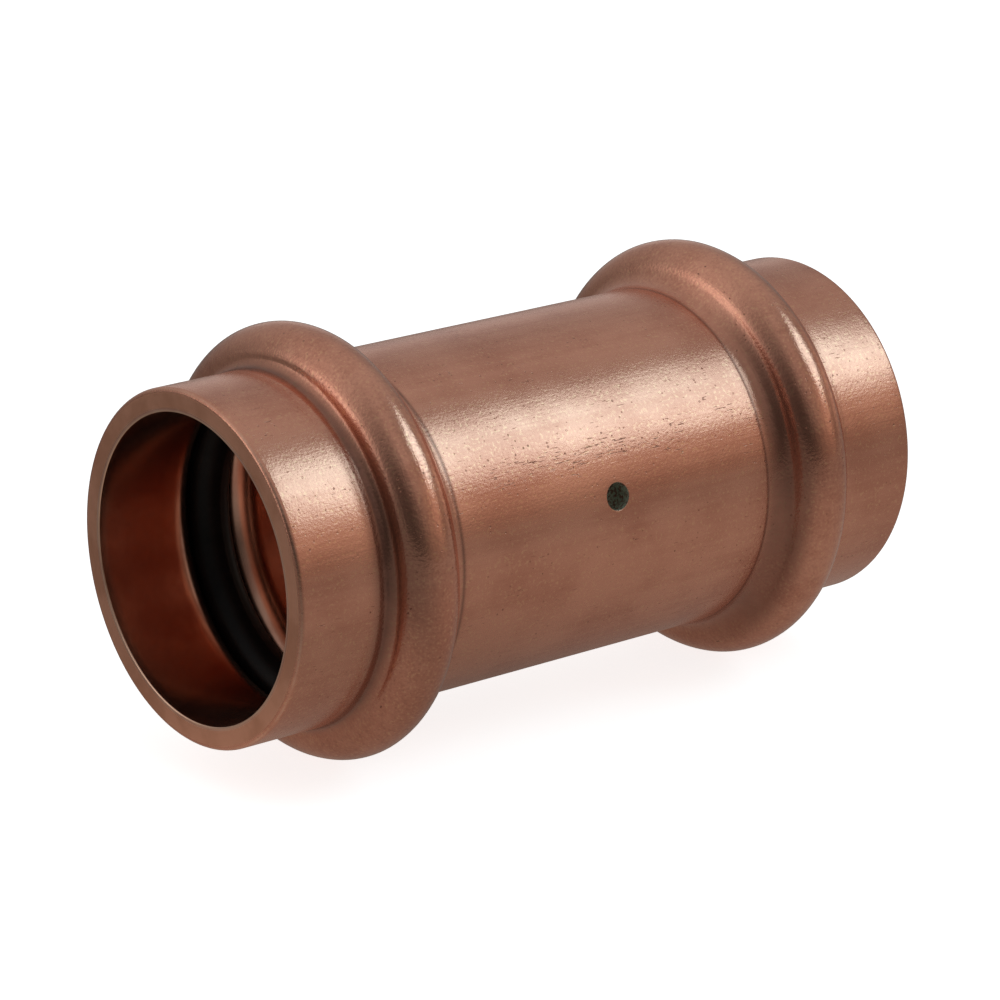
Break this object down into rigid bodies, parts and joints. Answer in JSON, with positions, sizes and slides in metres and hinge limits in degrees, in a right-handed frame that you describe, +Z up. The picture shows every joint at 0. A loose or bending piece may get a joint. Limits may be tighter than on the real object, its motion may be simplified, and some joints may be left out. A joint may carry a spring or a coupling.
{
  "type": "press-fit straight pipe coupling",
  "caption": "Straight copper press-fit coupling for small tube: two open sockets, each with a raised bead holding a rubber ring, and a dimple as the tube stop.",
  "frame": {"origin": "centre of the coupling, on the axis of its bore, halfway between the two open ends", "axes": "+X along the bore towards the rear open end, +Z up with the coupling lying on its two beads, -Y towards the side that has the dimple"},
  "size_m": [0.041, 0.0228, 0.0228],
  "materials": {
    "copper": "drawn copper, satin, unpolished",
    "seal_rubber": "moulded black rubber, slightly shiny"
  },
  "bodies": {
    "root": {"coupling_body": "copper", "o_ring_front": "seal_rubber", "o_ring_rear": "seal_rubber"}
  },
  "joints": []
}
